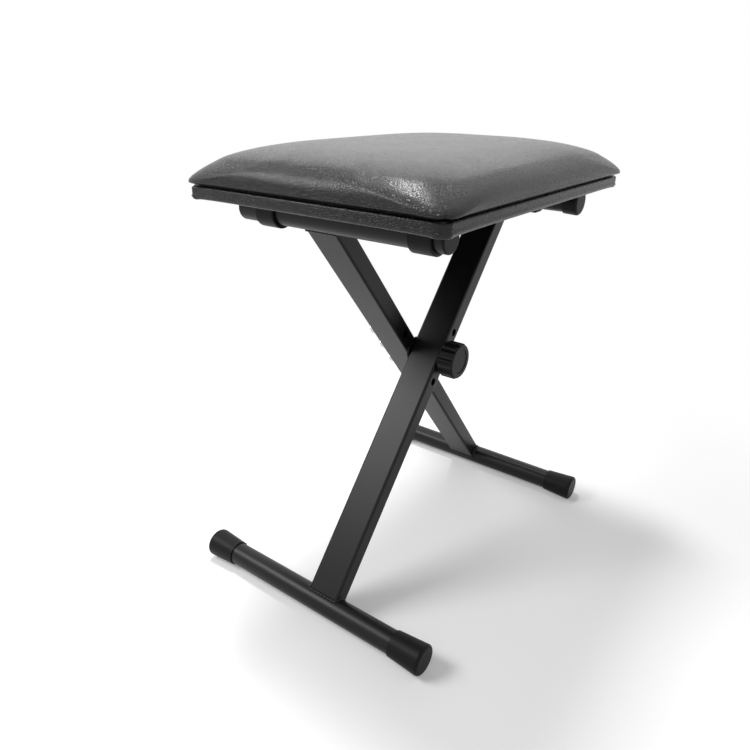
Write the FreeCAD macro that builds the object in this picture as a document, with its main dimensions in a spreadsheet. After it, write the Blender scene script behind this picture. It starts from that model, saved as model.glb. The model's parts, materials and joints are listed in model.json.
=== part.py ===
import FreeCAD, Part
import math
import os
import re
import Sketcher
from FreeCAD import Placement, Rotation, Vector

# Folding keyboard bench: two crossed legs of flat rectangular tube turn about one
# knob bolt, each leg is welded to a round foot tube below and to a round seat tube
# above, and a padded seat hangs on the left seat tube and hooks over the right one.
# Frame: X along the seat, Y along the tubes, Z up. The knob is on the -Y side.
# The origin is on the floor under the middle of the feet.

os.makedirs("parts", exist_ok=True)
doc = FreeCAD.newDocument("keyboard_bench")
sheet = doc.addObject("Spreadsheet::Sheet", "sizes")

# Driving dimensions in millimetres: name, value, what it is.
SIZES = [
    ("seat_length", 390, "overall seat along X"),
    ("seat_width", 295, "overall seat along Y"),
    ("foot_width", 300, "foot tube with its caps along Y"),
    ("leg_length", 516, "rear leg, foot tube axis to seat tube axis"),
    ("front_leg_length", 513, "front leg, shorter so that its bumpers pass under the board"),
    ("pivot_reach", 300, "foot tube axis to the middle height hole"),
    ("hole_pitch", 31, "height hole to height hole"),
    ("hole_bore", 8.6, "height hole diameter"),
    ("tube_inset", 57.5, "left seat tube axis inside the seat's end"),
    ("tube_outer", 25.4, "round tube diameter"),
    ("tube_wall", 1.5, "round tube wall"),
    ("leg_width", 38, "flat leg tube along Y"),
    ("leg_depth", 20, "flat leg tube across the leg"),
    ("leg_wall", 1.5, "flat leg tube wall"),
    ("leg_corner", 2.8, "flat leg tube outer corner radius"),
    ("leg_gap", 2, "spacer between the legs"),
    ("spacer_outer", 30, "spacer diameter"),
    ("cap_length", 37, "rubber cap overall"),
    ("cap_rim", 28, "rubber cap diameter at its open end"),
    ("cap_end", 33, "rubber cap diameter at its closed end"),
    ("cap_floor", 3.5, "rubber at the closed end"),
    ("cap_round", 3.2, "rounding of the closed end"),
    ("cap_worn", 0.6, "depth of the flat that a foot cap stands on"),
    ("left_tube_inset", 32, "left seat tube end inside the seat's side"),
    ("right_tube_inset", 24.5, "right seat tube's bumper inside the seat's side"),
    ("bumper_length", 17, "rubber bumper on the right seat tube"),
    ("bumper_rim", 28.4, "bumper diameter at its open end"),
    ("bumper_end", 30, "bumper diameter at its closed end"),
    ("plug_flange", 2.5, "end plug flange"),
    ("plug_depth", 14, "end plug spigot"),
    ("plug_groove", 1.2, "groove depth round the plug spigot"),
    ("tube_to_board", 0.4, "clear height between a seat tube and the board"),
    ("strap_play", 0.4, "clearance between a strap and its tube"),
    ("strap_thick", 2.8, "saddle and hook wall"),
    ("strap_width", 24, "saddle and hook along Y"),
    ("strap_round", 1.4, "rounding of the strap edges"),
    ("flange_reach", 15, "saddle and hook ear along X"),
    ("flange_thick", 3.2, "saddle and hook ear"),
    ("front_saddle_inset", 52, "front saddle centre inside the seat's side"),
    ("rear_saddle_inset", 67, "rear saddle centre inside the seat's side"),
    ("hook_gap", 13.5, "between a hook and the leg beside it"),
    ("hook_lip", 11, "hook lip past the tube axis"),
    ("screw_bore", 4.8, "hole in an ear"),
    ("screw_shank", 4.2, "screw diameter"),
    ("screw_length", 12.5, "screw under its head"),
    ("screw_head", 8.6, "screw head diameter"),
    ("screw_head_rise", 2.4, "screw head height"),
    ("screw_spread", 7, "screw to the middle of its ear along Y"),
    ("board_thick", 10, "plywood"),
    ("board_corner", 12, "plywood corner radius"),
    ("rim_inset", 4.5, "cover at the board inside the widest cover"),
    ("cover_thick", 1.2, "vinyl"),
    ("fold_gap", 3.6, "between the folded vinyl and the saddle ears"),
    ("cushion_rise", 49.2, "cushion top above the folded vinyl"),
    ("bulge_corner", 18, "corner radius of the cushion at its widest"),
    ("side_draw", 2.5, "how far the cushion sides draw in between corners"),
    ("bolt_diameter", 8, "knob bolt"),
    ("bolt_tail", 5, "bolt past the weld nut"),
    ("bolt_head_flats", 13, "hexagon moulded into the knob"),
    ("bolt_head_rise", 5.3, "hexagon height"),
    ("nut_flats", 14, "weld nut across flats"),
    ("nut_rise", 6.5, "weld nut height"),
    ("thread_play", 0.1, "clearance between bolt and nut"),
    ("washer_outer", 24, "washer under the knob"),
    ("washer_thick", 1.6, "washer under the knob"),
    ("knob_outer", 41, "knob diameter"),
    ("knob_rise", 20.5, "knob length"),
    ("knob_chamfer", 2.2, "knob outer edge"),
    ("knob_foot", 3, "knob inner edge slope"),
    ("flute_count", 14, "knob flutes"),
    ("flute_bore", 9, "diameter of each knob flute"),
    ("flute_bite", 1.7, "depth of each knob flute"),
    ("knob_cap_outer", 27, "disc in the knob face"),
    ("knob_cap_thick", 2.4, "disc in the knob face"),
    ("knob_cap_recess", 0.6, "disc below the knob face"),
]
for row, (alias, value, note) in enumerate(SIZES, start=1):
    sheet.set("A%d" % row, alias)
    sheet.set("B%d" % row, str(value))
    sheet.set("C%d" % row, note)
    sheet.setAlias("B%d" % row, alias)
doc.recompute()

# Sizes that follow from the driving ones.
DERIVED = {
    "seat_reach": "(leg_length - pivot_reach)",
    "tube_spacing": "(seat_length - 2 * tube_inset)",
    "half_angle": "asin(tube_spacing / 2 / seat_reach)",
    "foot_axis_up": "(cap_end / 2 - cap_worn)",
    "foot_x": "(pivot_reach * sin(half_angle))",
    "seat_x": "(tube_spacing / 2)",
    "right_seat_x": "((front_leg_length - pivot_reach) * sin(half_angle))",
    "right_seat_up": "(foot_axis_up + front_leg_length * cos(half_angle))",
    "pivot_up": "(foot_axis_up + pivot_reach * cos(half_angle))",
    "seat_tube_up": "(foot_axis_up + leg_length * cos(half_angle))",
    "board_drop": "(tube_outer / 2 + tube_to_board)",
    "board_under": "(seat_tube_up + board_drop)",
    "hook_drop": "(board_under - right_seat_up)",
    "leg_middle": "(leg_gap / 2 + leg_width / 2)",
    "leg_face": "(leg_gap / 2 + leg_width)",
    "strap_inner": "(tube_outer / 2 + strap_play)",
    "strap_outer": "(strap_inner + strap_thick)",
    "ear_middle": "(strap_outer + flange_reach / 2)",
    "seat_tube_reach": "(seat_width - 2 * left_tube_inset)",
    "right_tube_width": "(seat_width - 2 * right_tube_inset)",
    "front_saddle_out": "(seat_width / 2 - front_saddle_inset)",
    "rear_saddle_out": "(seat_width / 2 - rear_saddle_inset)",
    "hook_out": "(leg_face + hook_gap + strap_width / 2)",
    "board_inset": "(rim_inset + cover_thick)",
    "cover_fold": "(tube_inset - rim_inset - strap_outer - flange_reach - fold_gap)",
    "nut_radius": "(nut_flats / 2 / cos(30))",
    "bolt_head_radius": "(bolt_head_flats / 2 / cos(30))",
    "knob_base": "washer_thick",
    "bolt_root": "(washer_thick + knob_rise / 2 - bolt_head_rise / 2)",
    "bolt_length": "(bolt_root + 2 * leg_width + leg_gap + nut_rise + bolt_tail)",
}
NAMES = {alias for alias, value, note in SIZES}
WORD = re.compile(r"[a-z_]+")


def formula(text):
    """Write a formula of size names as an expression on the sheet."""
    def swap(match):
        word = match.group(0)
        if word in DERIVED:
            return formula(DERIVED[word])
        return "sizes." + word if word in NAMES else word
    return WORD.sub(swap, str(text))


def size(text):
    """Work out a formula of size names, for the pieces that functions shape."""
    return float(sheet.evalExpression(formula(text)))


def bind(thing, **formulas):
    for key, text in formulas.items():
        thing.setExpression(key, formula(text))


def place(thing, x="0", y="0", z="0", turn=None, angle=None):
    """Put a thing where formulas say, turned by a rotation or by a bound angle."""
    thing.Placement = Placement(Vector(), turn or Rotation())
    thing.setExpression("Placement.Base.x", formula(x))
    thing.setExpression("Placement.Base.y", formula(y))
    thing.setExpression("Placement.Base.z", formula(z))
    if angle:
        thing.setExpression("Placement.Rotation.Angle", formula(angle))


TO_FRONT = Rotation(Vector(1, 0, 0), 90)       # local Z looks along -Y, local Y up
TO_REAR = Rotation(Vector(0, 1, 1), 180)       # local Z looks along +Y, local Y up
LEAN_RIGHT = Rotation(Vector(0, 1, 0), 30)     # the angle is bound later
LEAN_LEFT = Rotation(Vector(0, -1, 0), 30)
nodes = []


def keep(thing, label):
    """Name a finished piece and add it to the files to write."""
    thing.Label = label
    nodes.append(thing)
    return thing


def new_body(name):
    return doc.addObject("PartDesign::Body", name + "_body")


def origin_plane(body, role):
    return next(f for f in body.Origin.OriginFeatures if f.Role == role)


def new_sketch(body, name, role="XY_Plane"):
    sketch = body.newObject("Sketcher::SketchObject", name)
    sketch.AttachmentSupport = [(origin_plane(body, role), "")]
    sketch.MapMode = "FlatFace"
    return sketch


def primitive(body, kind, name, x="0", y="0", z="0", turn=None, **formulas):
    """Add or cut a block or cylinder in a body, all of it bound to the sheet."""
    piece = body.newObject("PartDesign::" + kind, name)
    bind(piece, **formulas)
    place(piece, x, y, z, turn)
    doc.recompute()
    return piece


def corner_outline(sketch, corners):
    """Draw a closed outline whose corners are tied to formulas."""
    count = len(corners)
    ring = [Vector(5 + i, (i * i) % 7, 0) for i in range(count)]
    for i in range(count):
        sketch.addGeometry(Part.LineSegment(ring[i], ring[(i + 1) % count]), False)
    for i in range(count):
        sketch.addConstraint(Sketcher.Constraint("Coincident", i, 2, (i + 1) % count, 1))
    for i, (across, along) in enumerate(corners):
        for kind, letter, text in (("DistanceX", "x", across), ("DistanceY", "y", along)):
            value = ring[i].x if letter == "x" else ring[i].y
            index = sketch.addConstraint(Sketcher.Constraint(kind, -1, 1, i, 1, value + 0.5))
            sketch.renameConstraint(index, "%s%d" % (letter, i))
            sketch.setExpression("Constraints.%s%d" % (letter, i), formula(text))


def rounded_outline(sketch, first, wide, deep, radius, tag):
    """Draw a centred rectangle with round corners; first is its first curve number."""
    half_w, half_d, r = 10.0, 8.0, 2.0
    spots = [(half_w - r, half_d - r, 0), (-half_w + r, half_d - r, 90),
             (-half_w + r, -half_d + r, 180), (half_w - r, -half_d + r, 270)]
    for x, y, start in spots:
        circle = Part.Circle(Vector(x, y, 0), Vector(0, 0, 1), r)
        sketch.addGeometry(
            Part.ArcOfCircle(circle, math.radians(start), math.radians(start + 90)), False)
    sides = [((half_w - r, half_d), (-half_w + r, half_d)),
             ((-half_w, half_d - r), (-half_w, -half_d + r)),
             ((-half_w + r, -half_d), (half_w - r, -half_d)),
             ((half_w, -half_d + r), (half_w, half_d - r))]
    for begin, end in sides:
        sketch.addGeometry(Part.LineSegment(Vector(*begin, 0), Vector(*end, 0)), False)
    arcs = [first + i for i in range(4)]
    lines = [first + 4 + i for i in range(4)]
    for i in range(4):
        sketch.addConstraint(Sketcher.Constraint("Tangent", arcs[i], 2, lines[i], 1))
        sketch.addConstraint(Sketcher.Constraint("Tangent", lines[i], 2, arcs[(i + 1) % 4], 1))
    for i, kind in ((0, "Horizontal"), (1, "Vertical"), (2, "Horizontal"), (3, "Vertical")):
        sketch.addConstraint(Sketcher.Constraint(kind, lines[i]))
    for i in (1, 2, 3):
        sketch.addConstraint(Sketcher.Constraint("Equal", arcs[0], arcs[i]))
    sketch.addConstraint(Sketcher.Constraint("Symmetric", arcs[0], 3, arcs[2], 3, -1, 1))
    named = (("wide", "DistanceX", lines[1], 1, lines[3], 1, 2 * half_w, wide),
             ("deep", "DistanceY", lines[2], 1, lines[0], 1, 2 * half_d, deep))
    for word, kind, one, one_end, two, two_end, value, text in named:
        index = sketch.addConstraint(
            Sketcher.Constraint(kind, one, one_end, two, two_end, value))
        sketch.renameConstraint(index, word + tag)
        sketch.setExpression("Constraints." + word + tag, formula(text))
    index = sketch.addConstraint(Sketcher.Constraint("Radius", arcs[0], r))
    sketch.renameConstraint(index, "radius" + tag)
    sketch.setExpression("Constraints.radius" + tag, formula(radius))


def pad(body, sketch, length):
    feature = body.newObject("PartDesign::Pad", sketch.Name + "_pad")
    feature.Profile = sketch
    bind(feature, Length=length)
    doc.recompute()
    return feature


def turned(body, sketch):
    """Turn an outline round the body's own Z axis."""
    feature = body.newObject("PartDesign::Revolution", sketch.Name + "_turned")
    feature.Profile = sketch
    feature.ReferenceAxis = (sketch, ["V_Axis"])
    feature.Angle = 360.0
    doc.recompute()
    return feature


def soften(body, name, radius, wanted, kind="Fillet"):
    """Round the edges that a test picks."""
    base = body.Tip
    picked = ["Edge%d" % (i + 1) for i, edge in enumerate(base.Shape.Edges) if wanted(edge)]
    feature = body.newObject("PartDesign::" + kind, name)
    feature.Base = (base, picked)
    bind(feature, **{"Radius" if kind == "Fillet" else "Size": radius})
    doc.recompute()
    return feature


def ring_at(radius, height):
    """Pick the whole circles of one radius at one height along Z."""
    def test(edge):
        curve = edge.Curve
        round_edge = isinstance(curve, Part.Circle) and edge.Closed
        return round_edge and abs(curve.Radius - radius) < 0.01 and abs(
            curve.Center.z - height) < 0.01
    return test


# Flat rectangular leg tube. Both ends are coped to sit on the round tubes, and three
# height holes go through both walls.
def leg(name, reach, lean, x, y):
    body = new_body(name)
    section = new_sketch(body, name + "_section")
    rounded_outline(section, 0, "leg_depth", "leg_width", "leg_corner", "_out")
    rounded_outline(section, 8, "leg_depth - 2 * leg_wall", "leg_width - 2 * leg_wall",
                    "leg_corner - leg_wall", "_in")
    pad(body, section, reach)
    across = "(leg_width / 2 + 5)"
    for end, up in (("foot", "0"), ("seat", reach)):
        primitive(body, "SubtractiveCylinder", "%s_%s_cope" % (name, end), "0", across, up,
                  TO_FRONT, Radius="tube_outer / 2", Height="2 * " + across)
    for step, word in ((-1, "low"), (0, "middle"), (1, "high")):
        primitive(body, "SubtractiveCylinder", "%s_%s_hole" % (name, word), "0", across,
                  "pivot_reach + %d * hole_pitch" % step, TO_FRONT,
                  Radius="hole_bore / 2", Height="2 * " + across)
    place(body, x, y, "foot_axis_up", lean, "half_angle")
    return keep(body, name)


# Round tube along Y.
def round_tube(name, x, z, reach):
    outer = doc.addObject("Part::Cylinder", name + "_outer")
    inner = doc.addObject("Part::Cylinder", name + "_inner")
    bind(outer, Radius="tube_outer / 2", Height=reach)
    bind(inner, Radius="tube_outer / 2 - tube_wall", Height=reach)
    for part in (outer, inner):
        place(part, x, "(%s) / 2" % reach, z, TO_FRONT)
    tube = doc.addObject("Part::Cut", name + "_cut")
    tube.Base = outer
    tube.Tool = inner
    return keep(tube, name)


# Moulded rubber cap pushed over a tube end, flared to its closed end. The kind is cap
# for the long ones on the feet, which stand on a small flat, or bumper.
def rubber_cap(name, kind, x, z, overall, side):
    body = new_body(name)
    outline = new_sketch(body, name + "_outline", "XZ_Plane")
    end, reach = kind + "_end", kind + "_length"
    corner_outline(outline, [
        ("tube_outer / 2", "0"), (kind + "_rim / 2", "0"), (end + " / 2", reach),
        ("0", reach), ("0", reach + " - cap_floor"), ("tube_outer / 2", reach + " - cap_floor")])
    turned(body, outline)
    soften(body, name + "_round", "cap_round", ring_at(size(end) / 2, size(reach)))
    if kind == "cap":
        primitive(body, "SubtractiveBox", name + "_flat", "-cap_end", "-cap_end", "-1",
                  Length="2 * cap_end", Width="cap_end / 2 + cap_worn", Height="cap_length + 2")
    start = "(%s) / 2 - %s" % (overall, reach)
    place(body, x, start if side > 0 else "-(%s)" % start, z, TO_REAR if side > 0 else TO_FRONT)
    return keep(body, name)


# Moulded plug in an open tube end, with a flange as wide as the tube.
def end_plug(name, x, z, reach, side):
    body = new_body(name)
    outline = new_sketch(body, name + "_outline", "XZ_Plane")
    spigot = "(tube_outer / 2 - tube_wall)"
    corner_outline(outline, [
        ("0", "-plug_depth"), (spigot + " - plug_groove", "-plug_depth"),
        (spigot, "-plug_depth + 2 * plug_groove"), (spigot, "-plug_depth / 2"),
        (spigot + " - plug_groove", "-plug_depth / 2"),
        (spigot + " - plug_groove", "-plug_depth / 2 + 2 * plug_groove"),
        (spigot, "-plug_depth / 2 + 2 * plug_groove"), (spigot, "0"),
        ("tube_outer / 2", "0"), ("tube_outer / 2", "plug_flange"), ("0", "plug_flange")])
    turned(body, outline)
    soften(body, name + "_round", "plug_flange / 2",
           ring_at(size("tube_outer") / 2, size("plug_flange")))
    at = "(%s) / 2" % reach
    place(body, x, at if side > 0 else "-" + at, z, TO_REAR if side > 0 else TO_FRONT)
    return keep(body, name)


# Rear frame: the leg that stands on the right and carries the left seat tube.
FOOT_REACH = "foot_width - 2 * cap_floor"
SIDES = (("front", -1), ("rear", 1))
leg("rear_leg", "leg_length", LEAN_LEFT, "foot_x", "leg_middle")
round_tube("right_foot_tube", "foot_x", "foot_axis_up", FOOT_REACH)
for word, side in SIDES:
    rubber_cap("right_foot_cap_" + word, "cap", "foot_x", "foot_axis_up", "foot_width", side)
round_tube("left_seat_tube", "-seat_x", "seat_tube_up", "seat_tube_reach")
for word, side in SIDES:
    end_plug("left_tube_plug_" + word, "-seat_x", "seat_tube_up", "seat_tube_reach", side)


# Weld nuts, one behind each height hole of the rear leg, on its far face.
def weld_nut(step, word):
    hexagon = doc.addObject("Part::Prism", "nut_%s_hexagon" % word)
    hexagon.Polygon = 6
    bind(hexagon, Circumradius="nut_radius", Height="nut_rise")
    bore = doc.addObject("Part::Cylinder", "nut_%s_bore" % word)
    bind(bore, Radius="bolt_diameter / 2 + thread_play", Height="nut_rise")
    nut = doc.addObject("Part::Cut", "nut_" + word)
    nut.Base = hexagon
    nut.Tool = bore
    place(nut, "%d * hole_pitch * sin(half_angle)" % -step, "leg_face",
          "pivot_up + %d * hole_pitch * cos(half_angle)" % step, TO_REAR)
    return nut


nuts = doc.addObject("Part::Compound", "weld_nut_set")
nuts.Links = [weld_nut(step, word) for step, word in ((-1, "low"), (0, "middle"), (1, "high"))]
keep(nuts, "weld_nuts")


# Flat ring: the spacer between the legs and the washer under the knob.
def flat_ring(name, outer, thick, y):
    body = new_body(name)
    primitive(body, "AdditiveCylinder", name + "_disc", Radius=outer + " / 2", Height=thick)
    primitive(body, "SubtractiveCylinder", name + "_bore", Radius="hole_bore / 2", Height=thick)
    place(body, "0", y, "pivot_up", TO_FRONT)
    return keep(body, name)


flat_ring("leg_spacer", "spacer_outer", "leg_gap", "leg_gap / 2")

# Front frame: the leg that stands on the left and carries the right seat tube.
leg("front_leg", "front_leg_length", LEAN_RIGHT, "-foot_x", "-leg_middle")
round_tube("left_foot_tube", "-foot_x", "foot_axis_up", FOOT_REACH)
for word, side in SIDES:
    rubber_cap("left_foot_cap_" + word, "cap", "-foot_x", "foot_axis_up", "foot_width", side)
round_tube("right_seat_tube", "right_seat_x", "right_seat_up",
           "right_tube_width - 2 * cap_floor")
for word, side in SIDES:
    rubber_cap("right_tube_bumper_" + word, "bumper", "right_seat_x", "right_seat_up",
               "right_tube_width", side)


# Closed saddle: a strap round the left seat tube with a screwed ear on each side.
def strap_edges(edge):
    """Pick the outer edges at both ends of the strap's bend."""
    curve = edge.Curve
    return isinstance(curve, Part.Circle) and abs(curve.Radius - outer_radius) < 0.01


outer_radius = size("strap_outer")
HALF_STRAP = "-strap_width / 2"


def ear(body, name, x, drop):
    """Screwed ear against the board."""
    primitive(body, "AdditiveBox", name, x, HALF_STRAP, drop + " - flange_thick",
              Length="flange_reach + strap_thick", Width="strap_width", Height="flange_thick")


def ear_holes(body, name, x, drop):
    """Two screw holes through an ear."""
    for word, side in SIDES:
        primitive(body, "SubtractiveCylinder", "%s_%s" % (name, word), x,
                  "%d * screw_spread" % side, "0", Radius="screw_bore / 2",
                  Height=drop)


def saddle(name, y):
    body = new_body(name)
    primitive(body, "AdditiveCylinder", name + "_bend", "0", "strap_width / 2", "0", TO_FRONT,
              Radius="strap_outer", Height="strap_width")
    primitive(body, "AdditiveBox", name + "_sides", "-strap_outer", HALF_STRAP, "0",
              Length="2 * strap_outer", Width="strap_width", Height="board_drop")
    primitive(body, "SubtractiveCylinder", name + "_tube_way", "0", "strap_width / 2 + 1", "0",
              TO_FRONT, Radius="strap_inner", Height="strap_width + 2")
    primitive(body, "SubtractiveBox", name + "_top_way", "-strap_inner", HALF_STRAP + " - 1",
              "0", Length="2 * strap_inner", Width="strap_width + 2", Height="strap_outer + 2")
    soften(body, name + "_round", "strap_round", strap_edges)
    ear(body, name + "_outer_ear", "-strap_outer - flange_reach", "board_drop")
    ear(body, name + "_inner_ear", "strap_inner", "board_drop")
    ear_holes(body, name + "_outer_hole", "-ear_middle", "board_drop")
    ear_holes(body, name + "_inner_hole", "ear_middle", "board_drop")
    place(body, "-seat_x", y, "seat_tube_up")
    return keep(body, name)


# Open hook: the same strap, but only round the outer side and the underside of the
# right seat tube, so that the tube slides out towards the left as the legs close.
def hook(name, y):
    body = new_body(name)
    primitive(body, "AdditiveCylinder", name + "_bend", "0", "strap_width / 2", "0", TO_FRONT,
              Radius="strap_outer", Height="strap_width")
    primitive(body, "AdditiveBox", name + "_side", "0", HALF_STRAP, "0",
              Length="strap_outer", Width="strap_width", Height="hook_drop")
    primitive(body, "AdditiveBox", name + "_lip", "-hook_lip", HALF_STRAP, "-strap_outer",
              Length="hook_lip", Width="strap_width", Height="strap_thick")
    primitive(body, "SubtractiveCylinder", name + "_tube_way", "0", "strap_width / 2 + 1", "0",
              TO_FRONT, Radius="strap_inner", Height="strap_width + 2")
    primitive(body, "SubtractiveBox", name + "_mouth", "-2 * strap_outer", HALF_STRAP + " - 1",
              "-strap_inner", Length="2 * strap_outer", Width="strap_width + 2",
              Height="strap_inner + strap_outer + 2")
    primitive(body, "SubtractiveBox", name + "_top_way", "0", HALF_STRAP + " - 1", "0",
              Length="strap_inner", Width="strap_width + 2", Height="strap_outer + 2")
    soften(body, name + "_round", "strap_round", strap_edges)
    ear(body, name + "_ear", "strap_inner", "hook_drop")
    ear_holes(body, name + "_hole", "ear_middle", "hook_drop")
    place(body, "right_seat_x", y, "right_seat_up")
    return keep(body, name)


for word, side in SIDES:
    saddle("tube_saddle_" + word, "%d * %s_saddle_out" % (side, word))
for word, side in SIDES:
    hook("tube_hook_" + word, "%d * hook_out" % side)


# Pan head wood screw, driven upwards through an ear into the board.
def screw(name, x, y):
    shank = doc.addObject("Part::Cylinder", name + "_shank")
    bind(shank, Radius="screw_shank / 2", Height="screw_length - screw_shank / 2")
    point = doc.addObject("Part::Cone", name + "_point")
    bind(point, Radius1="screw_shank / 2", Radius2="screw_shank / 8", Height="screw_shank / 2")
    place(point, z="screw_length - screw_shank / 2")
    head = doc.addObject("Part::Cone", name + "_head")
    bind(head, Radius1="screw_head / 2 - screw_head_rise / 2", Radius2="screw_head / 2",
         Height="screw_head_rise")
    place(head, z="-screw_head_rise")
    whole = doc.addObject("Part::MultiFuse", name)
    whole.Shapes = [shank, point, head]
    place(whole, x, y, "board_under - flange_thick")
    return whole


SADDLE_SCREWS = [("-seat_x + %d * ear_middle" % out,
                  "%d * %s_saddle_out + %d * screw_spread" % (side, word, step))
                 for out in (-1, 1) for word, side in SIDES for step in (-1, 1)]
HOOK_SCREWS = [("right_seat_x + ear_middle", "%d * hook_out + %d * screw_spread" % (side, step))
               for side in (-1, 1) for step in (-1, 1)]
for label, spots in (("saddle_screws", SADDLE_SCREWS), ("hook_screws", HOOK_SCREWS)):
    group = doc.addObject("Part::Compound", label + "_set")
    group.Links = [screw("%s_%d" % (label, i + 1), x, y) for i, (x, y) in enumerate(spots)]
    keep(group, label)

# Plywood seat board with a pilot hole for every screw.
board = new_body("seat_board")
board_sketch = new_sketch(board, "board_outline")
rounded_outline(board_sketch, 0, "seat_length - 2 * board_inset",
                "seat_width - 2 * board_inset", "board_corner", "_board")
pad(board, board_sketch, "board_thick")
for i, (x, y) in enumerate(SADDLE_SCREWS + HOOK_SCREWS):
    primitive(board, "SubtractiveCylinder", "pilot_%d" % (i + 1), x, y, "0",
              Radius="screw_shank / 2", Height="screw_length - flange_thick")
place(board, z="board_under")
keep(board, "seat_board")
doc.recompute()


# Cushion outline at one height: rounded corners, and sides drawn in between them.
def cushion_outline(inset, corner, draw, up):
    half_x = size("seat_length") / 2 - inset
    half_y = size("seat_width") / 2 - inset
    run_x = half_x - corner
    run_y = half_y - corner
    lean = corner * 0.5 ** 0.5
    edges = []
    for sx, sy in ((1, 1), (-1, 1), (-1, -1), (1, -1)):
        along_x = Vector(sx * run_x, sy * half_y, up)
        along_y = Vector(sx * half_x, sy * run_y, up)
        middle = Vector(sx * (run_x + lean), sy * (run_y + lean), up)
        begin, end = (along_y, along_x) if sx == sy else (along_x, along_y)
        edges.append(Part.Arc(begin, middle, end).toShape())
        if sx == sy:
            far = Vector(-along_x.x, along_x.y, up)
            dip = Vector(0, sy * (half_y - draw), up)
        else:
            far = Vector(along_y.x, -along_y.y, up)
            dip = Vector(sx * (half_x - draw), 0, up)
        side = Part.Arc(end, dip, far) if draw else Part.LineSegment(end, far)
        edges.append(side.toShape())
    return Part.Wire(edges)


def slab(inset, corner, low, high):
    outline = cushion_outline(inset, corner, 0, low)
    return Part.Face(outline).extrude(Vector(0, 0, high - low))


# The cushion's side profile in shares: height of the rise above the board's top face,
# inset of half the seat's width, corner radius of the widest one, and side draw.
RIM_INSET = size("rim_inset")
RIM_SHARE = size("rim_inset / (seat_width / 2)")
PROFILE = [
    (0.00, RIM_SHARE, 0.73, 0.0), (0.07, RIM_SHARE * 0.4, 0.86, 0.4),
    (0.18, 0.003, 0.98, 1.0), (0.29, 0.003, 1.0, 1.0), (0.41, 0.027, 1.08, 1.0),
    (0.52, 0.064, 1.2, 0.9), (0.645, 0.115, 1.35, 0.8), (0.76, 0.19, 1.55, 0.7),
    (0.876, 0.31, 1.83, 0.5), (0.947, 0.46, 2.1, 0.4), (0.985, 0.61, 2.0, 0.3),
    (1.00, 0.745, 1.67, 0.2)]


def cushion_form(skin):
    """Loft the cushion above the board, smaller all round by a skin thickness."""
    rise = size("cushion_rise - cover_thick - board_thick")
    sections = []
    for up, inset, corner, draw in PROFILE:
        sections.append(cushion_outline(
            size("seat_width / 2") * inset + skin, size("bulge_corner") * corner - skin / 2,
            size("side_draw") * draw, board_thick + (rise - skin) * up))
    return Part.makeLoft(sections, True, False)


cover_thick = size("cover_thick")
board_thick = size("board_thick")
foam_shape = cushion_form(cover_thick)
board_shape = slab(RIM_INSET + cover_thick, size("board_corner"), 0, board_thick)
skirt = slab(RIM_INSET, size("bulge_corner") * PROFILE[0][2], -cover_thick, board_thick)
window = slab(RIM_INSET + size("cover_fold"), size("board_corner"), -2 * cover_thick, board_thick)
cover_shape = cushion_form(0).fuse(skirt).cut([foam_shape, board_shape, window])
for name, shape in (("seat_foam", foam_shape), ("seat_cover", cover_shape)):
    soft = doc.addObject("Part::Feature", name + "_form")
    soft.Shape = shape
    soft.Placement = Placement(board.Placement.Base, Rotation())
    keep(soft, name)

# Knob: a fluted moulding on a bolt, with a washer under it and a disc in its face.
# The knob pieces share one frame, whose Z runs out of the front leg along -Y.
flat_ring("knob_washer", "washer_outer", "washer_thick", "-leg_face")
knob = new_body("knob_grip")
knob_outline = new_sketch(knob, "knob_outline", "XZ_Plane")
corner_outline(knob_outline, [
    ("0", "knob_base"), ("knob_outer / 2 - knob_foot", "knob_base"),
    ("knob_outer / 2", "knob_base + knob_foot"),
    ("knob_outer / 2", "knob_base + knob_rise - knob_chamfer"),
    ("knob_outer / 2 - knob_chamfer", "knob_base + knob_rise"),
    ("knob_cap_outer / 2", "knob_base + knob_rise"),
    ("knob_cap_outer / 2", "knob_base + knob_rise - knob_cap_thick - knob_cap_recess"),
    ("0", "knob_base + knob_rise - knob_cap_thick - knob_cap_recess")])
turned(knob, knob_outline)
flute = primitive(knob, "SubtractiveCylinder", "flute",
                  "knob_outer / 2 + flute_bore / 2 - flute_bite", "0",
                  "knob_base - 1", Radius="flute_bore / 2", Height="knob_rise + 2")
ring = knob.newObject("PartDesign::PolarPattern", "flutes")
ring.Originals = [flute]
ring.Axis = (origin_plane(knob, "Z_Axis"), [""])
ring.Angle = 360.0
bind(ring, Occurrences="flute_count")
knob.Tip = ring
doc.recompute()
primitive(knob, "SubtractiveCylinder", "bolt_way", z="knob_base - 1",
          Radius="bolt_diameter / 2", Height="knob_rise")
primitive(knob, "SubtractivePrism", "hexagon_way", z="bolt_root",
          Circumradius="bolt_head_radius", Height="bolt_head_rise + knob_rise")
place(knob, "0", "-leg_face", "pivot_up", TO_FRONT)
keep(knob, "knob_grip")

knob_cap = new_body("knob_cap")
primitive(knob_cap, "AdditiveCylinder", "disc", Radius="knob_cap_outer / 2",
          Height="knob_cap_thick")
soften(knob_cap, "disc_edge", "knob_cap_thick / 4",
       ring_at(size("knob_cap_outer") / 2, size("knob_cap_thick")))
place(knob_cap, "0", "-leg_face - knob_base - knob_rise + knob_cap_thick + knob_cap_recess",
      "pivot_up", TO_FRONT)
keep(knob_cap, "knob_cap")

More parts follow.
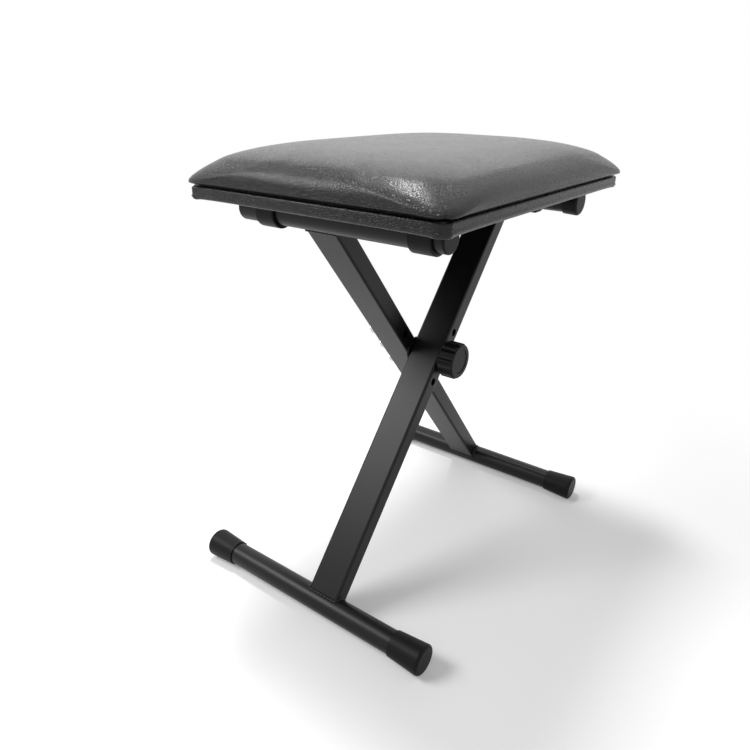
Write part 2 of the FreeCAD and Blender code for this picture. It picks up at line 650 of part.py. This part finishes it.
bolt = new_body("knob_bolt")
primitive(bolt, "AdditiveCylinder", "shank", z="bolt_root - bolt_length",
          Radius="bolt_diameter / 2", Height="bolt_length")
primitive(bolt, "AdditivePrism", "hexagon", z="bolt_root", Circumradius="bolt_head_radius",
          Height="bolt_head_rise")
soften(bolt, "bolt_point", "bolt_diameter / 8",
       ring_at(size("bolt_diameter") / 2, bolt.Tip.Shape.BoundBox.ZMin), "Chamfer")
place(bolt, "0", "-leg_face", "pivot_up", TO_FRONT)
keep(bolt, "knob_bolt")

doc.recompute()
broken = [o.Name for o in doc.Objects if "Invalid" in o.State or "Error" in o.State]
if broken:
    raise SystemExit("objects that did not build: " + ", ".join(broken))
for thing in nodes:
    if thing.Shape.isNull() or not thing.Shape.isValid():
        raise SystemExit("bad shape: " + thing.Label)
for thing in nodes:
    thing.Shape.exportStep("parts/%s.step" % thing.Label)
print(len(nodes), "pieces")
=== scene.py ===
import json
import math

import bmesh
import bpy
from mathutils import Matrix, Vector, noise


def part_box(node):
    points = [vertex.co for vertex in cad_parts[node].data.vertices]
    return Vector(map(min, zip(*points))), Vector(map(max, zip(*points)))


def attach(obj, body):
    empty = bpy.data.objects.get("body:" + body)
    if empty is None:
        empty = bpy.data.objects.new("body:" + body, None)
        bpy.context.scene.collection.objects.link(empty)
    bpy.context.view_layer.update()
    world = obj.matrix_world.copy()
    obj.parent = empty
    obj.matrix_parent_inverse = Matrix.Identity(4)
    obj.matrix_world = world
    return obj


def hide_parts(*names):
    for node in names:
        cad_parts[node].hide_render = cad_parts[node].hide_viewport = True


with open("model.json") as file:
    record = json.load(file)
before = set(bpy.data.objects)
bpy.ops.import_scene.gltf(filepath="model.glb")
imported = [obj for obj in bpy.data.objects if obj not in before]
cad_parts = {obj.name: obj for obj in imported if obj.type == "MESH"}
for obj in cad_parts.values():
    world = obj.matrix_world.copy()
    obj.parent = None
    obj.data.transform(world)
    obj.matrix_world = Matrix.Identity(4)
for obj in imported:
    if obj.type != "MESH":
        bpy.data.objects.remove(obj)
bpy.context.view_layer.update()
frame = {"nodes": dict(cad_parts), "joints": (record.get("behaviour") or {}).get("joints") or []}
nodes = frame["nodes"]
joints = {joint["name"]: joint for joint in frame["joints"]}

# The camera stands where the photograph was taken from: low over the near corner of
# the seat, on the knob's side, looking down along the bench. Its place was fitted to
# the edges of the tubes, the legs and the seat.
camera_place = Vector((-0.5976, -0.3799, 0.5261))
camera_yaw, camera_pitch, camera_roll = (math.radians(a) for a in (36.435, -24.907, 1.008))
focal_px, frame_px, sensor_mm = 650.5, 750, 36.0
centre_px = (371.9, 386.65)
look = Vector((math.cos(camera_pitch) * math.cos(camera_yaw),
               math.cos(camera_pitch) * math.sin(camera_yaw), math.sin(camera_pitch)))
level_right = look.cross(Vector((0, 0, 1))).normalized()
level_up = level_right.cross(look)
right = level_right * math.cos(camera_roll) + level_up * math.sin(camera_roll)
up = level_up * math.cos(camera_roll) - level_right * math.sin(camera_roll)
camera = bpy.data.objects.new("camera", bpy.data.cameras.new("camera"))
camera.matrix_world = Matrix.Translation(camera_place) @ Matrix((right, up, -look)).transposed().to_4x4()
camera.data.sensor_width = sensor_mm
camera.data.lens = sensor_mm * focal_px / frame_px
camera.data.shift_x = (frame_px / 2 - centre_px[0]) / frame_px
camera.data.shift_y = (centre_px[1] - frame_px / 2) / frame_px
camera.data.clip_start = 0.02
bpy.context.collection.objects.link(camera)
bpy.context.scene.camera = camera

# Steel frame: round tubes and flat rectangular tubes, cut, coped, welded and then
# powder coated satin black. The coat has a fine orange peel and faint cloudy patches.


class Flow:
    """A shader value. Arithmetic on it adds Math nodes to its material."""

    def __init__(self, paint, socket):
        self.paint, self.socket = paint, socket

    def math(self, operation, *values):
        return self.paint.node("ShaderNodeMath", {"operation": operation},
                               dict(enumerate(values)))

    def __add__(self, other):
        return self.math("ADD", self, other)

    def __radd__(self, other):
        return self.math("ADD", other, self)

    def __sub__(self, other):
        return self.math("SUBTRACT", self, other)

    def __rsub__(self, other):
        return self.math("SUBTRACT", other, self)

    def __mul__(self, other):
        return self.math("MULTIPLY", self, other)

    def __rmul__(self, other):
        return self.math("MULTIPLY", other, self)


class Paint:
    """A material under construction: its nodes, its place on the object, its finish."""

    def __init__(self, name, owner=None):
        self.material = owner or bpy.data.materials.new(name)
        self.material.use_nodes = True
        self.tree = self.material.node_tree
        self.tree.nodes.clear()
        self.place = self.node("ShaderNodeTexCoord", {}, {}, "Object")

    def node(self, kind, settings, sockets, output=0):
        """Add a node: its settings first, then the values or links of its sockets."""
        made = self.tree.nodes.new(kind)
        for key, value in settings.items():
            if key == "stops":
                ramp = made.color_ramp.elements
                while len(ramp) < len(value):
                    ramp.new(0.5)
                for stop, (at, colour) in zip(ramp, value):
                    stop.position, stop.color = at, colour
            else:
                setattr(made, key, value)
        for key, value in sockets.items():
            if isinstance(value, Flow):
                self.tree.links.new(value.socket, made.inputs[key])
            else:
                made.inputs[key].default_value = value
        return Flow(self, made.outputs[output])

    def noise(self, per_metre, detail=2.0, rough=0.5, place=None):
        return self.node("ShaderNodeTexNoise", {}, {
            "Vector": place or self.place, "Scale": per_metre, "Detail": detail,
            "Roughness": rough})

    def cells(self, per_metre, feature="F1", place=None, softness=None):
        sockets = {"Vector": place or self.place, "Scale": per_metre}
        if softness is not None:
            sockets["Smoothness"] = softness
        return self.node("ShaderNodeTexVoronoi", {"feature": feature}, sockets, "Distance")

    def step(self, value, low, high):
        """0 below low, 1 above high, and a smooth rise between them."""
        return self.node("ShaderNodeMapRange", {"interpolation_type": "SMOOTHSTEP"},
                         {0: value, 1: low, 2: high})

    def mix(self, share, first, second):
        return self.node("ShaderNodeMix", {"data_type": "RGBA"}, {0: share, 6: first, 7: second}, 2)

    def bump(self, height, depth, strength=1.0, normal=None):
        sockets = {"Height": height, "Distance": depth, "Strength": strength}
        if normal:
            sockets["Normal"] = normal
        return self.node("ShaderNodeBump", {}, sockets)

    def finish(self, **sockets):
        """Close the material. Names are the shader's sockets with _ for a blank."""
        named = {key.replace("_", " "): value for key, value in sockets.items()}
        self.output(self.node("ShaderNodeBsdfPrincipled", {}, named, "BSDF"))
        return self.material

    def output(self, shader, kind="ShaderNodeOutputMaterial"):
        self.tree.links.new(shader.socket, self.tree.nodes.new(kind).inputs["Surface"])


def grey(level, blue=1.0):
    return (level, level, level * blue, 1.0)


def powder_coat():
    paint = Paint("powder_coat")
    peel = paint.noise(520, 2.0, 0.45)
    speckle = paint.noise(2400, 1.0)
    haze = paint.noise(9, 3.0)
    colour = paint.mix(paint.step(haze, 0.35, 0.7), grey(0.0030, 1.05), grey(0.0052, 1.05))
    return paint.finish(
        Base_Color=colour, Roughness=0.30 + 0.08 * haze + 0.05 * speckle,
        Specular_IOR_Level=0.25,
        Normal=paint.bump(peel + 0.25 * speckle, 0.00005, 0.5))


steel_coat = powder_coat()


def dress(names, material):
    """Give CAD pieces their real finish, smooth on their round faces."""
    for name in names:
        mesh = nodes[name].data
        mesh.materials.clear()
        mesh.materials.append(material)
        mesh.shade_smooth()
        mesh.set_sharp_from_angle(angle=math.radians(32))


dress(["rear_leg", "front_leg", "left_foot_tube", "right_foot_tube", "left_seat_tube",
       "right_seat_tube"], steel_coat)


def new_piece(name, mesh, material, body):
    """Put a mesh in the scene as a named piece that rides on a body."""
    piece = bpy.data.objects.new(name, mesh)
    piece.data.materials.append(material)
    bpy.context.collection.objects.link(piece)
    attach(piece, body)
    return piece


def swept(name, path, section, closed=True):
    """Skin rings of points: section(i) gives the ring round path point i."""
    mesh = bpy.data.meshes.new(name)
    build = bmesh.new()
    rings = [[build.verts.new(p) for p in section(i)] for i in range(len(path))]
    pairs = list(zip(rings, rings[1:] + rings[:1])) if closed else list(zip(rings, rings[1:]))
    for one, two in pairs:
        for k in range(len(one)):
            j = (k + 1) % len(one)
            build.faces.new((one[k], one[j], two[j], two[k]))
    if not closed:
        build.faces.new(list(reversed(rings[0])))
        build.faces.new(rings[-1])
    bmesh.ops.recalc_face_normals(build, faces=build.faces)
    build.to_mesh(mesh)
    build.free()
    mesh.shade_smooth()
    return mesh


# Weld beads: a run of overlapping puddles all round each coped leg end, where the
# flat tube meets the round one.
pivot = Vector(joints["fold"]["pos_m"])


def weld_bead(name, leg, tube, body):
    low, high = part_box(leg)
    tube_low, tube_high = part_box(tube)
    axis = (tube_low + tube_high) / 2
    radius = (tube_high.z - tube_low.z) / 2
    along = (pivot - Vector((axis.x, pivot.y, axis.z))).normalized()
    across = Vector((along.z, 0, -along.x))
    half_y, middle_y = (high.y - low.y) / 2, (high.y + low.y) / 2
    half_x, corner, bead, stride = 0.010, 0.0028, 0.0019, 0.0006
    outline = []
    for quarter in range(4):
        sx, sy = ((1, 1), (-1, 1), (-1, -1), (1, -1))[quarter]
        for k in range(7):
            turn = math.radians(90 * quarter + 15 * k)
            outline.append((sx * (half_x - corner) + corner * math.cos(turn),
                            sy * (half_y - corner) + corner * math.sin(turn)))
    dense = []
    for (ax, ay), (bx, by) in zip(outline, outline[1:] + outline[:1]):
        count = max(1, round(math.hypot(bx - ax, by - ay) / stride))
        dense += [(ax + (bx - ax) * k / count, ay + (by - ay) * k / count) for k in range(count)]

    def spot(x, y):
        return Vector((axis.x, middle_y + y, axis.z)) + across * x + along * math.sqrt(
            max(radius ** 2 - x ** 2, 0))

    path = [spot(x, y) for x, y in dense]

    def ring(i):
        ahead = (path[(i + 1) % len(path)] - path[i - 1]).normalized()
        out = (path[i] - Vector((axis.x, path[i].y, axis.z))).normalized()
        side = ahead.cross(out).normalized()
        puddle = 0.82 + 0.18 * abs(math.sin(i * 0.42)) + 0.05 * noise.noise(path[i] * 900)
        size = bead * puddle
        return [path[i] + (side * math.cos(t) + side.cross(ahead) * math.sin(t)) * size
                for t in (math.tau * k / 8 for k in range(8))]

    return new_piece(name, swept(name, path, ring), steel_coat, body)


weld_bead("weld_left_foot", "front_leg", "left_foot_tube", "front_frame")
weld_bead("weld_right_seat", "front_leg", "right_seat_tube", "front_frame")
weld_bead("weld_right_foot", "rear_leg", "right_foot_tube", "rear_frame")
weld_bead("weld_left_seat", "rear_leg", "left_seat_tube", "rear_frame")

# Rubber caps on the feet and bumpers on the right seat tube: moulded in a soft black
# rubber with a dull, slightly dusty skin. The plugs in the left tube are hard plastic.


def moulded(name, level, rough, grain, depth, dust=0.0):
    """A moulded black plastic or rubber with a fine eroded skin."""
    paint = Paint(name)
    fine = paint.noise(grain, 3.0, 0.6)
    cloud = paint.noise(22, 4.0, 0.6)
    colour = paint.mix(paint.step(cloud, 0.4, 0.75), grey(level), grey(level * 1.5 + dust))
    return paint.finish(
        Base_Color=colour, Roughness=rough + 0.12 * (cloud - 0.5) + 0.08 * (fine - 0.5),
        Specular_IOR_Level=0.14,
        Normal=paint.bump(fine, depth, 0.6))


rubber = moulded("cap_rubber", 0.005, 0.46, 1300, 0.00006, 0.002)
hard_black = moulded("hard_black_plastic", 0.004, 0.40, 1800, 0.00003)
dress([n for n in nodes if "foot_cap" in n or "bumper" in n], rubber)
dress(["left_tube_plug_front", "left_tube_plug_rear"], hard_black)

# Saddles and hooks: moulded nylon straps screwed under the board. The spacer between
# the legs is the same nylon.
nylon = moulded("strap_nylon", 0.005, 0.42, 1500, 0.00004)
dress(["tube_saddle_front", "tube_saddle_rear", "tube_hook_front", "tube_hook_rear",
       "leg_spacer"], nylon)

# Zinc plated steel: the knob bolt, its washer, the weld nuts and the wood screws.


def zinc_plate():
    paint = Paint("zinc_plate")
    fine = paint.noise(900, 3.0, 0.6)
    cloud = paint.noise(60, 3.0)
    colour = paint.mix(cloud, (0.50, 0.50, 0.49, 1.0), (0.62, 0.61, 0.58, 1.0))
    return paint.finish(Base_Color=colour, Metallic=1.0, Roughness=0.28 + 0.2 * cloud,
                        Normal=paint.bump(fine, 0.00003, 0.4))


zinc = zinc_plate()
dress(["weld_nuts", "knob_washer", "knob_bolt", "saddle_screws", "hook_screws"], zinc)

# Knob: a fluted moulding with a flat face and a disc that covers the bolt's hexagon.
knob_plastic = moulded("knob_plastic", 0.005, 0.40, 1600, 0.00004, 0.002)
dress(["knob_grip", "knob_cap"], knob_plastic)

# Seat board: plywood stained black, seen only from below inside the folded vinyl. In
# the photograph nothing pale is mirrored in the legs under the seat.


def plywood():
    paint = Paint("plywood")
    stretched = paint.node("ShaderNodeMapping", {}, {
        "Vector": paint.place, "Scale": (1.0, 9.0, 9.0)})
    grain = paint.noise(16, 6.0, 0.6, stretched)
    pores = paint.noise(140, 4.0, 0.7, stretched)
    colour = paint.mix(paint.step(grain, 0.3, 0.7), (0.012, 0.011, 0.010, 1), (0.020, 0.018, 0.016, 1))
    colour = paint.mix(0.5 * paint.step(pores, 0.52, 0.7), colour, (0.006, 0.006, 0.006, 1))
    return paint.finish(Base_Color=colour, Roughness=0.72 + 0.1 * pores,
                        Normal=paint.bump(pores, 0.0002, 0.5))


dress(["seat_board"], plywood())

# Cushion: grained semi gloss vinyl pulled over foam, down the board's edge and round
# under it. Each corner is pulled down into a ridge like a mitre, and its spare vinyl
# is folded into one flat pleat on the board's edge.
cover_low, cover_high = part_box("seat_cover")
board_low, board_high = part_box("seat_board")
half_seat = Vector((0.195, 0.1475))
rim_inset, fold_reach, side_draw = 0.0045, 0.0185, 0.0025
# The side profile: share of the rise above the board, inset from the widest outline,
# corner radius, sharpness of the corner ridge, share of the side draw, corner sag.
side_profile = [
    (0.00, 0.0054, 0.013, 1.0, 0.0, 0.0002), (0.03, 0.0088, 0.014, 1.0, 0.0, 0.0004),
    (0.065, 0.0048, 0.016, 1.0, 0.2, 0.0008), (0.11, 0.0010, 0.018, 1.2, 0.6, 0.0013),
    (0.19, 0.0000, 0.021, 1.4, 1.0, 0.0020), (0.29, 0.0002, 0.027, 1.6, 1.0, 0.0028),
    (0.41, 0.0020, 0.035, 1.7, 1.0, 0.0034), (0.52, 0.0052, 0.040, 1.7, 0.9, 0.0038),
    (0.645, 0.0108, 0.044, 1.7, 0.8, 0.0038), (0.76, 0.0186, 0.046, 1.6, 0.7, 0.0030),
    (0.876, 0.0345, 0.044, 1.4, 0.5, 0.0020), (0.947, 0.0535, 0.040, 1.2, 0.4, 0.0010),
    (0.985, 0.0800, 0.036, 1.0, 0.3, 0.0000), (1.00, 0.1060, 0.032, 1.0, 0.2, 0.0000)]


def read_profile(rows, at):
    """Read a table at a fractional row, smoothly through its rows."""
    i = min(int(at), len(rows) - 2)
    t = at - i
    four = [rows[min(max(i + k, 0), len(rows) - 1)] for k in (-1, 0, 1, 2)]
    return [0.5 * (2 * b + (c - a) * t + (2 * a - 5 * b + 4 * c - d) * t * t
                   + (3 * b - a - 3 * c + d) * t ** 3) for a, b, c, d in zip(*four)]


def cushion_ring(inset, radius, sharp, draw, notch, flap, around=36, long_side=44, short_side=32):
    """Points round the cushion, each with its nearness to a corner from 0 to 1.

    A corner is a conic that keeps the diagonal reach of a round one, and a sharp one
    starts to turn sooner and turns tighter in its middle. The pleat is a notch on the
    corner's diagonal, with a flap of folded vinyl beside it.
    """
    half = half_seat - Vector((inset, inset))
    reach = radius * sharp
    weight = max(0.7071, reach * 0.7071 / (radius * 0.4142) - 1)
    corners = [Vector((half.x, half.y)), Vector((-half.x, half.y)),
               Vector((-half.x, -half.y)), Vector((half.x, -half.y))]
    points = []
    for i, corner in enumerate(corners):
        before = (corners[i - 1] - corner).normalized()
        after = (corners[(i + 1) % 4] - corner).normalized()
        start, end = corner + before * reach, corner + after * reach
        for k in range(around):
            t = k / around
            a, b, c = (1 - t) ** 2, 2 * weight * t * (1 - t), t * t
            beside = (t - 0.5) * 1.6 * reach
            fold = flap * math.exp(-(max(0, beside - 0.006, 0.001 - beside) / 0.0018) ** 2)
            fold -= notch * math.exp(-(beside / 0.0021) ** 2)
            spot = (start * a + corner * b + end * c) / (a + b + c)
            points.append((spot - (before + after).normalized() * fold,
                           math.sin(math.pi * t) ** 0.7 * 0.6 + 0.4))
        far = corners[(i + 1) % 4] - after * reach
        count = long_side if i % 2 == 0 else short_side
        for k in range(count):
            t = k / count
            middle = 1 - (2 * t - 1) ** 2
            points.append((end.lerp(far, t) + before * draw * middle,
                           0.4 * (1 - middle) ** 4))
    return points


def cushion_mesh():
    build = bmesh.new()
    held = build.verts.layers.float.new("held")
    rings = []

    def add_ring(height, hold, inset, radius, sag=0.0, sharp=1.0, draw=0.0, notch=0.0, flap=0.0):
        ring = []
        for point, nearness in cushion_ring(inset, radius, sharp, draw, notch, flap):
            vert = build.verts.new((point.x, point.y, height - sag * nearness))
            vert[held] = hold
            ring.append(vert)
        rings.append(ring)

    rim = cover_low.z
    under = board_low.z + 0.0004
    inner = rim_inset + fold_reach
    rim_radius, rim_sag, rim_bead = 0.013, 0.0016, 0.0007
    edge_notch, edge_flap, corner_notch, corner_flap = 0.0012, 0.0011, 0.0034, 0.0010
    add_ring(under, 1, inset=inner + 0.012, radius=0.010)
    add_ring(under - 0.0001, 1, inset=inner, radius=0.010)
    add_ring(rim + 0.0001, 1, inset=inner - 0.0003, radius=0.010)
    for k in range(1, 6):
        add_ring(rim, 1, inset=inner - fold_reach * k / 6, radius=0.010 + 0.001 * k)
    bend = 0.0024
    for turn in (10, 35, 60, 85):
        lean = math.radians(turn)
        add_ring(rim + bend * (1 - math.cos(lean)), 1, rim_inset + bend * (1 - math.sin(lean)),
                 rim_radius, sag=rim_sag, notch=0.0010, flap=edge_flap)
    for k in range(1, 8):
        add_ring(rim + bend + (board_high.z - rim - bend) * k / 8, 1,
                 rim_inset - (rim_bead if k == 1 else 0), rim_radius,
                 sag=rim_sag * (1 - k / 8), notch=edge_notch, flap=edge_flap)
    steps = 52
    for k in range(steps + 1):
        share, inset, radius, sharp, draw, sag = read_profile(
            side_profile, k / steps * (len(side_profile) - 1))
        add_ring(board_high.z + share * (cover_high.z - board_high.z),
                 1 - min(1.0, max(0.0, share - 0.10) / 0.25), inset, radius, sag,
                 max(1.0, sharp), draw * side_draw,
                 corner_notch * max(0.0, 1 - share / 0.34) + 0.0003,
                 corner_flap * max(0.0, 1 - share / 0.12))
    top = rings[-1]
    for shrink in (0.84, 0.68, 0.52, 0.36, 0.2):
        ring = []
        for vert in top:
            centre = Vector((max(-0.048, min(0.048, vert.co.x)), 0, vert.co.z))
            point = centre.lerp(vert.co, shrink)
            ring.append(build.verts.new(
                (point.x, point.y, vert.co.z + 0.0005 * (1 - shrink ** 2))))
        rings.append(ring)
    for one, two in zip(rings, rings[1:]):
        for k in range(len(one)):
            j = (k + 1) % len(one)
            build.faces.new((one[k], one[j], two[j], two[k]))
    build.faces.new(rings[-1])
    build.faces.new(list(reversed(rings[0])))
    bmesh.ops.triangulate(build, faces=[f for f in build.faces if len(f.verts) > 4])
    mesh = bpy.data.meshes.new("cushion")
    build.to_mesh(mesh)
    build.free()
    return mesh


def puff(piece, pins, pressure, cap):
    """Blow a held soft piece up as cloth, then smooth how far it moved and cap that."""
    calm_rounds, calm_share = 40, 0.7
    start = [vert.co.copy() for vert in piece.data.vertices]
    group = piece.vertex_groups.new(name="held")
    for i, weight in enumerate(pins):
        group.add([i], weight, "REPLACE")
    cloth = piece.modifiers.new("cloth", "CLOTH")
    cloth.settings.quality = 6
    cloth.settings.mass = 0.3
    cloth.settings.tension_stiffness = 80
    cloth.settings.compression_stiffness = 80
    cloth.settings.shear_stiffness = 40
    cloth.settings.bending_stiffness = 40
    cloth.settings.use_pressure = True
    cloth.settings.uniform_pressure_force = pressure
    cloth.settings.vertex_group_mass = "held"
    cloth.settings.effector_weights.gravity = 0
    cloth.collision_settings.use_collision = False
    for step in range(1, 21):
        bpy.context.scene.frame_set(step)
    posed = piece.evaluated_get(bpy.context.evaluated_depsgraph_get())
    puffed = [vert.co.copy() for vert in posed.data.vertices]
    piece.modifiers.remove(cloth)
    bpy.context.scene.frame_set(1)
    moves = [now - was for was, now in zip(start, puffed)]
    beside = [[] for move in moves]
    for edge in piece.data.edges:
        one, two = edge.vertices
        beside[one].append(two)
        beside[two].append(one)
    for calm in range(calm_rounds):
        moves = [move.lerp(sum((moves[j] for j in near), Vector()) / len(near),
                           calm_share * (1 - pin))
                 for move, near, pin in zip(moves, beside, pins)]
    for vert, was, move in zip(piece.data.vertices, start, moves):
        vert.co = was + move * min(1.0, cap / max(move.length, 1e-9))


def vinyl():
    paint = Paint("vinyl")
    wander = paint.node("ShaderNodeTexNoise", {}, {
        "Vector": paint.place, "Scale": 300.0, "Detail": 2.0}, "Color")
    warped = paint.node("ShaderNodeVectorMath", {"operation": "MULTIPLY_ADD"}, {
        0: wander, 1: (0.0014, 0.0014, 0.0014), 2: paint.place})
    pebble = paint.cells(520, "SMOOTH_F1", warped, 0.4)
    crease = paint.step(paint.cells(520, "DISTANCE_TO_EDGE", warped), 0.0, 0.16)
    pores = paint.noise(4200, 2.0)
    soft = paint.noise(14, 3.0)
    slack = paint.noise(30, 2.0)
    grain = crease * 0.7 - pebble * 0.5 + pores * 0.15
    # Painted shade: the colour is darker in the grain's creases than on the pebble tops.
    colour = paint.mix(crease, grey(0.0035), grey(0.0075, 1.03))
    return paint.finish(
        Base_Color=colour, Roughness=0.28 + 0.08 * (soft - 0.5) - 0.04 * crease,
        Specular_IOR_Level=0.32,
        Normal=paint.bump(grain, 0.00026, 0.85, paint.bump(slack, 0.0008, 0.08)))


cushion = new_piece("cushion", cushion_mesh(), vinyl(), "seat")
held_layer = cushion.data.attributes["held"].data
puff(cushion, [value.value for value in held_layer], pressure=4.0, cap=0.0007)
cushion.data.shade_smooth()
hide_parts("seat_foam", "seat_cover")

# Floor, backdrop and lamps of a plain white studio. The floor keeps the bench's
# shadow. Further out, and in the world, it is plain white to the camera and to
# reflections, while the light that the world gives stays low.
floor_mesh = bpy.data.meshes.new("floor")
build = bmesh.new()
bmesh.ops.create_grid(build, x_segments=1, y_segments=1, size=8)
build.to_mesh(floor_mesh)
build.free()
floor = bpy.data.objects.new("floor", floor_mesh)
bpy.context.collection.objects.link(floor)


def in_sight(paint):
    """1 for what the camera, a reflection or a clear view through sees, else 0."""
    seen = [paint.node("ShaderNodeLightPath", {}, {}, kind)
            for kind in ("Is Camera Ray", "Is Glossy Ray", "Is Transmission Ray")]
    return seen[0].math("MAXIMUM", seen[0].math("MAXIMUM", seen[0], seen[1]), seen[2])


shadow_edge, white_edge = 0.30, 0.75
floor_paint = Paint("floor")
away = floor_paint.node("ShaderNodeVectorMath", {"operation": "LENGTH"},
                        {0: floor_paint.place}, "Value")
lit = floor_paint.node("ShaderNodeBsdfPrincipled", {}, {
    "Base Color": grey(0.9), "Roughness": 0.9, "Specular IOR Level": 0.1}, "BSDF")
glow = floor_paint.node("ShaderNodeEmission", {}, {"Color": grey(1.0), "Strength": 0.2})
raised = floor_paint.node("ShaderNodeAddShader", {}, {0: lit, 1: glow})
white = floor_paint.node("ShaderNodeEmission", {}, {"Color": grey(1.0), "Strength": 1.0})
spread = floor_paint.node("ShaderNodeMixShader", {}, {
    0: floor_paint.step(away, shadow_edge, white_edge), 1: raised, 2: white})
shown = floor_paint.node("ShaderNodeMixShader", {}, {
    0: in_sight(floor_paint), 1: lit, 2: spread})
floor_paint.output(shown)
floor_mesh.materials.append(floor_paint.material)

world = bpy.data.worlds.new("studio")
bpy.context.scene.world = world
world_paint = Paint("studio", world)
world_paint.output(world_paint.node("ShaderNodeBackground", {}, {
    "Color": grey(1.0), "Strength": 0.3 + 0.7 * in_sight(world_paint)}), "ShaderNodeOutputWorld")


def soft_box(name, place, target, width, height, radiance):
    """A rectangular lamp whose face has the given brightness, where 1 is white."""
    lamp = bpy.data.objects.new(name, bpy.data.lights.new(name, "AREA"))
    lamp.data.shape = "RECTANGLE"
    lamp.data.size, lamp.data.size_y = width, height
    lamp.data.energy = radiance * math.pi * width * height
    lamp.location = place
    lamp.rotation_euler = (Vector(target) - Vector(place)).to_track_quat("-Z", "Y").to_euler()
    bpy.context.collection.objects.link(lamp)


soft_box("left_box", (-1.1, 1.1, 1.5), (0, 0, 0.3), 0.9, 0.7, 11)
soft_box("top_box", (0.15, 0.42, 1.85), (-0.15, 0, 0.45), 0.24, 0.42, 60)
soft_box("back_box", (1.55, 1.1, 1.4), (0, 0, 0.45), 1.8, 0.8, 1.0)
bpy.context.scene.view_settings.view_transform = "Standard"
